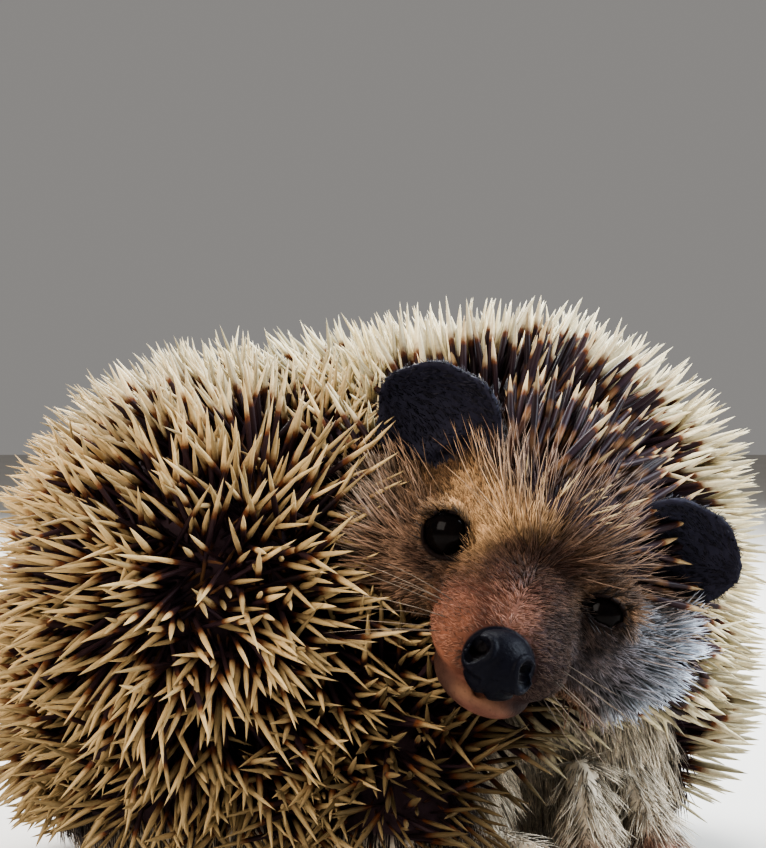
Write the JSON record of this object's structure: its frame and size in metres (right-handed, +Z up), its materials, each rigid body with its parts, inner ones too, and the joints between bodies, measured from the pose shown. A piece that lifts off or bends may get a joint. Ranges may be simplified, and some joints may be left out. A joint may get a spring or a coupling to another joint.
{
  "type": "hedgehog",
  "caption": "Life-size pygmy hedgehog resting half curled on its belly, with a quilled back, furred face, dished ears and small tucked paws.",
  "frame": {"origin": "on the floor plane, under the middle of the curled body, on the flat that the belly rests on", "axes": "+Z up; -Y the way the face looks; +X towards the animal's shoulders, on the right of the view onto its face"},
  "size_m": [0.1152, 0.1077, 0.0806],
  "materials": {
    "quills": "keratin spines, cream and dark brown bands",
    "fur": "short tan and cream fur",
    "skin": "bare or thinly furred reddish brown skin",
    "dark_skin": "moist near-black skin",
    "eye": "wet black gloss"
  },
  "bodies": {
    "root": {"nose": "dark_skin", "muzzle": "skin", "jaw": "skin", "head": "fur", "eye_right": "eye", "ear_right": "dark_skin", "eye_left": "eye", "ear_left": "dark_skin", "tail": "skin", "foreleg_right": "skin", "foreleg_left": "skin", "hindleg_right": "skin", "hindleg_left": "skin", "crown": "quills", "neck": "quills", "shoulders": "quills", "back": "quills", "loin": "quills", "rump": "quills"}
  },
  "joints": []
}
